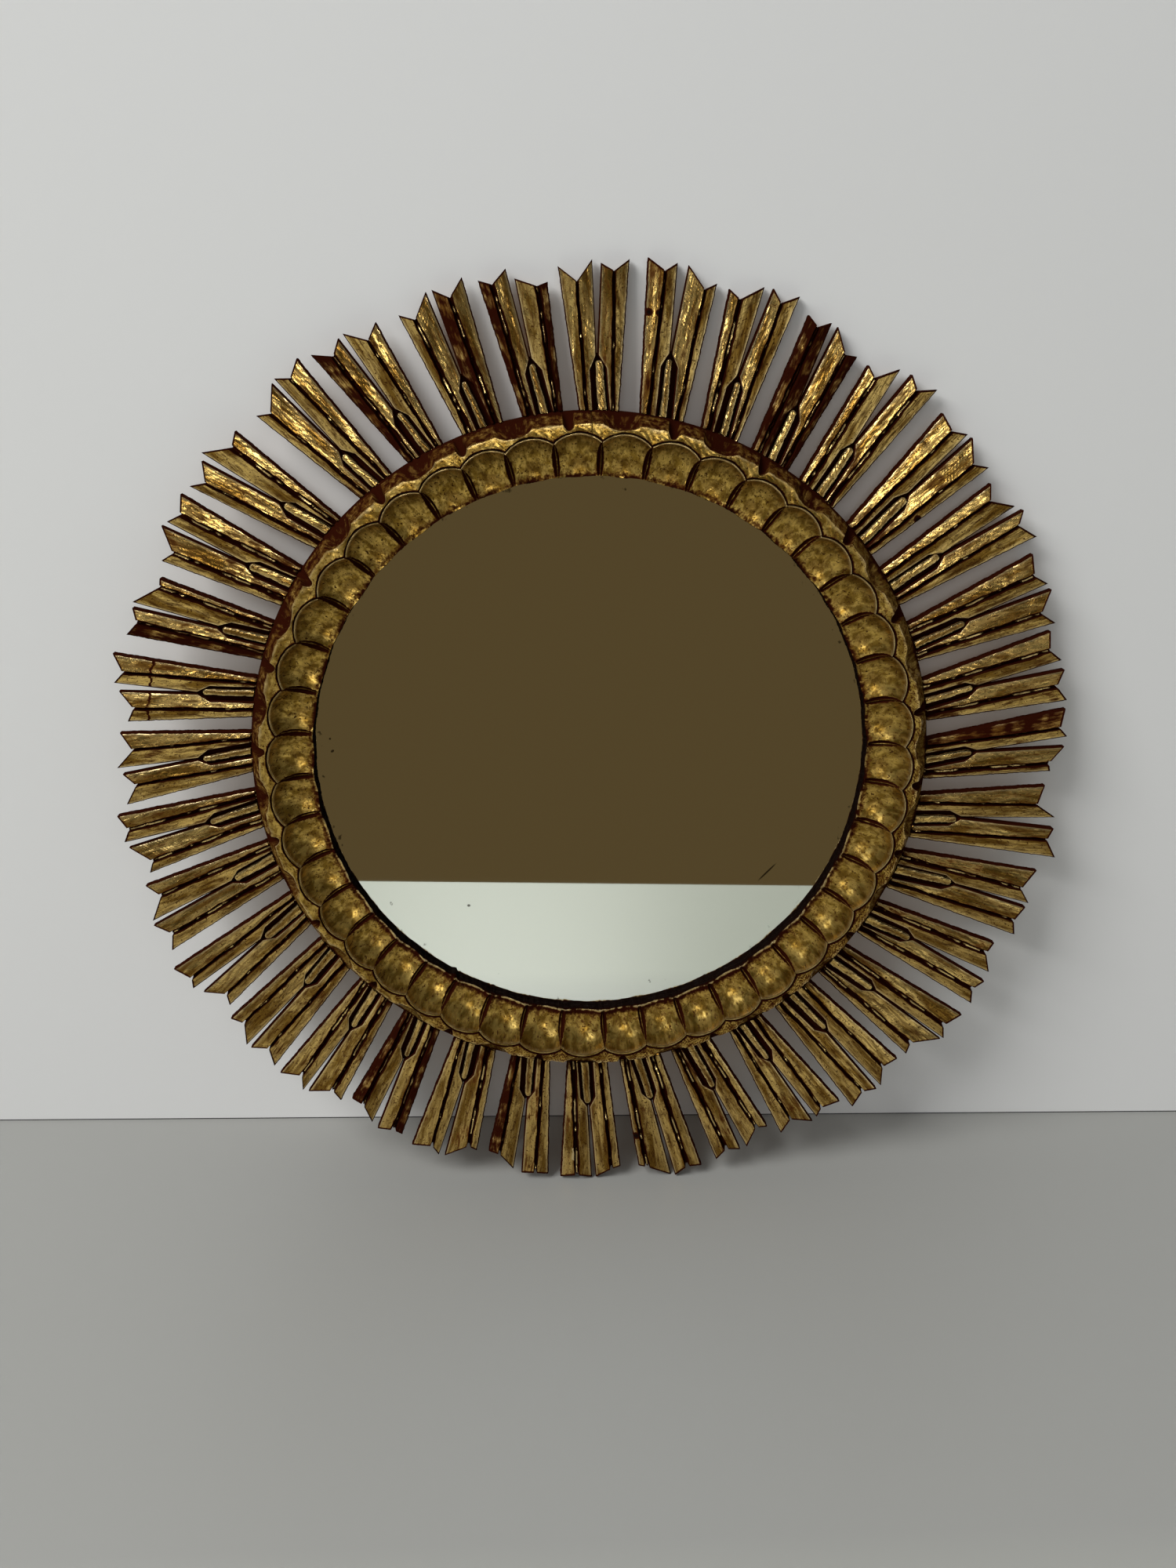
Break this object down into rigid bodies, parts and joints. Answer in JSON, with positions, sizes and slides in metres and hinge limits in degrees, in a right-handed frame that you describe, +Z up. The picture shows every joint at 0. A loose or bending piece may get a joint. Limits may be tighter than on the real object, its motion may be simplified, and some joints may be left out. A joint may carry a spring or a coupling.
{
  "type": "sunburst mirror",
  "caption": "Round wall mirror in a hand-carved gilded sunburst frame of grooved fishtail rays round a ring of hollow scallops, with a hanging loop that swings on the back.",
  "frame": {"origin": "centre of the backing board's rear face, on the mirror's axis, in the plane that lies against the wall", "axes": "+Z up, front of the glass faces -Y, +X to the viewer's right, +Y into the wall"},
  "size_m": [0.5909, 0.0315, 0.5884],
  "materials": {
    "gilded_ray": "carved wood, red-brown bole under aged gold leaf, dark patina in the grooves",
    "gilded_ring": "carved wood, burnished aged gold leaf in the scallops, dark patina in the cuts",
    "stained_wood": "dark stained softwood, sawn and turned",
    "silvered_glass": "silvered float glass, lightly aged at the edge",
    "card": "grey-brown pulp card",
    "board": "pressed hardboard, smooth side out",
    "cut_steel": "cut steel, square in section, dark oxide",
    "hanger_brass": "folded brass strip, dulled",
    "hanger_wire": "drawn brass wire, dulled"
  },
  "bodies": {
    "mirror": {"ray_01": "gilded_ray", "ray_02": "gilded_ray", "ray_03": "gilded_ray", "ray_04": "gilded_ray", "ray_05": "gilded_ray", "ray_06": "gilded_ray", "ray_07": "gilded_ray", "ray_08": "gilded_ray", "ray_09": "gilded_ray", "ray_10": "gilded_ray", "ray_11": "gilded_ray", "ray_12": "gilded_ray", "ray_13": "gilded_ray", "ray_14": "gilded_ray", "ray_15": "gilded_ray", "ray_16": "gilded_ray", "ray_17": "gilded_ray", "ray_18": "gilded_ray", "ray_19": "gilded_ray", "ray_20": "gilded_ray", "ray_21": "gilded_ray", "ray_22": "gilded_ray", "ray_23": "gilded_ray", "ray_24": "gilded_ray", "ray_25": "gilded_ray", "ray_26": "gilded_ray", "ray_27": "gilded_ray", "ray_28": "gilded_ray", "ray_29": "gilded_ray", "ray_30": "gilded_ray", "ray_31": "gilded_ray", "ray_32": "gilded_ray", "ray_33": "gilded_ray", "ray_34": "gilded_ray", "ray_35": "gilded_ray", "ray_36": "gilded_ray", "carved_ring": "gilded_ring", "back_hoop": "stained_wood", "mirror_glass": "silvered_glass", "packing_sheet": "card", "backing_board": "board", "board_brads": "cut_steel", "ray_nails": "cut_steel", "hanger_strap": "hanger_brass", "hanger_tacks": "cut_steel"},
    "loop": {"hanger_loop": "hanger_wire"}
  },
  "joints": [
    {"name": "loop_hinge", "type": "hinge", "parent": "mirror", "child": "loop", "pos_m": [0, -0.0015, 0.2015], "axis": [1, 0, 0], "range_deg": [0, 180]}
  ]
}
